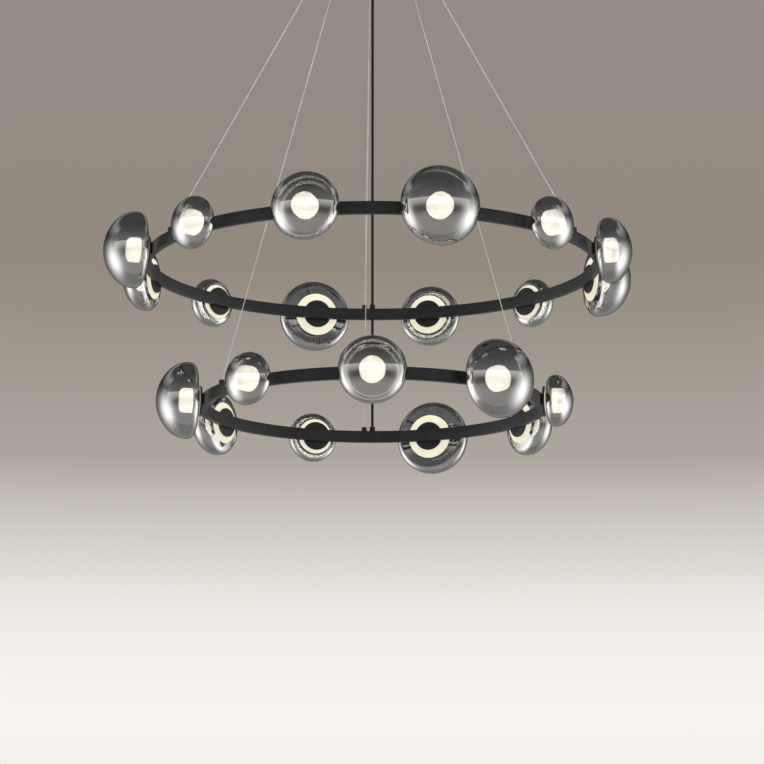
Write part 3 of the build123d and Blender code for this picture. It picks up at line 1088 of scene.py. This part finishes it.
@dataclass
class Studio:
    """Floor, soft lights, backdrop tones and camera."""

    floor_z: float = -2.9
    floor_size: float = 80.0
    floor_dark: Colour = (0.78, 0.77, 0.75)
    floor_light: Colour = (0.82, 0.81, 0.79)
    floor_roughness: float = 0.8
    floor_cloud_scale: float = 3.0
    floor_cloud_detail: float = 3.0
    camera_distance: float = 5.0
    camera_z: float = -1.7976
    camera_pitch: float = math.radians(11.393)
    camera_yaw: float = math.radians(0.193)
    focal_pixels: float = 2918.5
    image_pixels: float = 764.0
    sensor: float = 36.0
    backdrop_tones: Tones = (
        (0.500, (0.78, 0.76, 0.73)),
        (0.542, (0.94, 0.905, 0.865)),
        (0.559, (0.86, 0.83, 0.79)),
        (0.573, (0.64, 0.605, 0.565)),
        (0.586, (0.42, 0.38, 0.34)),
        (0.619, (0.29, 0.25, 0.21)),
        (0.652, (0.30, 0.262, 0.235)),
    )
    room_tones: Tones = (
        (0.200, (0.42, 0.412, 0.403)),
        (0.300, (0.33, 0.324, 0.317)),
        (0.380, (0.13, 0.128, 0.126)),
        (0.460, (0.13, 0.128, 0.126)),
        (0.540, (0.50, 0.49, 0.48)),
        (0.630, (0.80, 0.785, 0.77)),
        (0.645, (0.20, 0.20, 0.204)),
        (0.760, (0.16, 0.16, 0.163)),
        (0.880, (0.10, 0.10, 0.102)),
        (1.000, (0.08, 0.08, 0.08)),
    )
    behind_tones: Tones = (
        (0.10, (0.30, 0.295, 0.29)),
        (0.30, (0.50, 0.49, 0.475)),
        (0.60, (0.25, 0.24, 0.23)),
        (0.70, (0.03, 0.03, 0.03)),
        (0.80, (0.50, 0.50, 0.50)),
        (0.86, (0.08, 0.08, 0.08)),
        (1.00, (0.10, 0.10, 0.10)),
    )
    window_side: Point = (0.94, 0.22, -0.26)
    window_focus: float = 11.0
    window_tone: Rgba = (2.3, 2.3, 2.3, 1.0)
    fill_tone: Rgba = (0.9, 0.9, 0.92, 1.0)
    fill_level: float = 0.7
    light_target: Point = (0.0, 0.0, -0.7)
    soft_boxes: Tuple[SoftBox, ...] = (
        SoftBox("right_box", (2.6, -2.4, -0.2), width=1.0, height=2.0, power=60.0),
        SoftBox("left_low_box", (-2.8, -2.2, -2.0), width=1.6, height=0.8, power=30.0),
        SoftBox("back_box", (0.6, 3.6, -0.6), width=2.4, height=1.2, power=30.0),
        SoftBox("top_box", (-0.4, -0.6, 1.6), width=1.6, height=1.6, power=40.0),
    )

    def build(self) -> None:
        """Make the whole studio."""
        self.build_camera()
        self.build_floor()
        self.build_world()
        for box in self.soft_boxes:
            box.build(self.light_target)
        bpy.context.scene.view_settings.view_transform = "Standard"

    def build_camera(self) -> None:
        """Camera at the photograph's viewing angle."""
        data = bpy.data.cameras.new("camera")
        data.sensor_width = self.sensor
        data.lens = self.focal_pixels / self.image_pixels * self.sensor
        camera = bpy.data.objects.new("camera", data)
        camera.location = (0.0, -self.camera_distance, self.camera_z)
        camera.rotation_euler = (QUARTER_TURN + self.camera_pitch, 0.0, -self.camera_yaw)
        bpy.context.scene.collection.objects.link(camera)
        bpy.context.scene.camera = camera

    def build_floor(self) -> None:
        """Plain pale floor far below the lamp."""
        half = self.floor_size / 2.0
        corners = [(-half, -half), (half, -half), (half, half), (-half, half)]
        mesh = bpy.data.meshes.new("floor")
        mesh.from_pydata([(x, y, self.floor_z) for x, y in corners], [], [(0, 1, 2, 3)])
        made, graph = Graph.material("pale_floor")
        cloud = graph.noise(self.floor_cloud_scale, self.floor_cloud_detail)
        graph.surface({
            "Base Color": graph.blend(cloud, self.floor_dark, self.floor_light),
            "Roughness": self.floor_roughness,
        })
        mesh.materials.append(made)
        floor = bpy.data.objects.new("floor", mesh)
        floor.visible_glossy = False
        bpy.context.scene.collection.objects.link(floor)

    def build_world(self) -> None:
        """Backdrop tones by height for the camera, and a dark room with a pale wall for mirrored rays.

        The mirrored room is dark above a line a little over the horizon, pale just below it, darker where
        the wall meets the floor, with a soft window at either side and a strip of light high up behind
        the lamp.
        """
        world = bpy.data.worlds.new("studio")
        world.use_nodes = True
        bpy.context.scene.world = world
        graph = Graph(world.node_tree)
        where = graph.value("ShaderNodeTexCoord", {}, {}, "Generated")
        axes = graph.node("ShaderNodeSeparateXYZ", {}, {"Vector": where})
        height = Signal(graph, axes.outputs["Z"]) * 0.5 + 0.5
        backdrop = graph.ramp(height, self.backdrop_tones)
        room = graph.ramp(height, self.room_tones)
        behind = graph.ramp(height, self.behind_tones)
        far_half = graph.value("ShaderNodeMath", {"operation": "GREATER_THAN"},
                               {0: axes.outputs["Y"], 1: 0.0})
        around = graph.mix(far_half, room, behind)
        window = graph.lobe(axes, self.window_side) ** self.window_focus
        mirrored = graph.mix(window, around, self.window_tone)
        fill = graph.node("ShaderNodeBackground", {},
                          {"Color": self.fill_tone, "Strength": self.fill_level})
        seen = graph.node("ShaderNodeBackground", {}, {"Color": backdrop})
        glossy = graph.node("ShaderNodeBackground", {}, {"Color": mirrored})
        rays = graph.node("ShaderNodeLightPath", {}, {})
        lit = graph.node("ShaderNodeMixShader", {},
                         {0: rays.outputs["Is Glossy Ray"], 1: fill.outputs[0], 2: glossy.outputs[0]})
        direct = graph.value("ShaderNodeMath", {"operation": "MAXIMUM"},
                             {0: rays.outputs["Is Camera Ray"], 1: rays.outputs["Is Transmission Ray"]})
        mix = graph.node("ShaderNodeMixShader", {}, {0: direct, 1: lit.outputs[0], 2: seen.outputs[0]})
        graph.node("ShaderNodeOutputWorld", {}, {"Surface": mix.outputs[0]})


def main() -> None:
    """Build the chandelier's pieces in order, then the studio."""
    logging.basicConfig(level=logging.INFO, format="%(name)s: %(message)s")
    finishes = Finishes()
    finishes.build()
    finishes.dress_nodes()
    Canopy().build(finishes)
    for tier in (
        Tier(Level.UPPER, radius=0.400, lamps=12, first_angle=-165.0, order="LSM", wire_circle=0.105,
             cable_y=0.014),
        Tier(Level.LOWER, radius=0.300, lamps=9, first_angle=-160.0, order="SML", wire_circle=0.070,
             cable_y=-0.014),
    ):
        tier.build_ring(finishes)
        tier.build_lamps(finishes)
        tier.build_suspension(finishes)
    Studio().build()


if __name__ == "__main__":
    main()
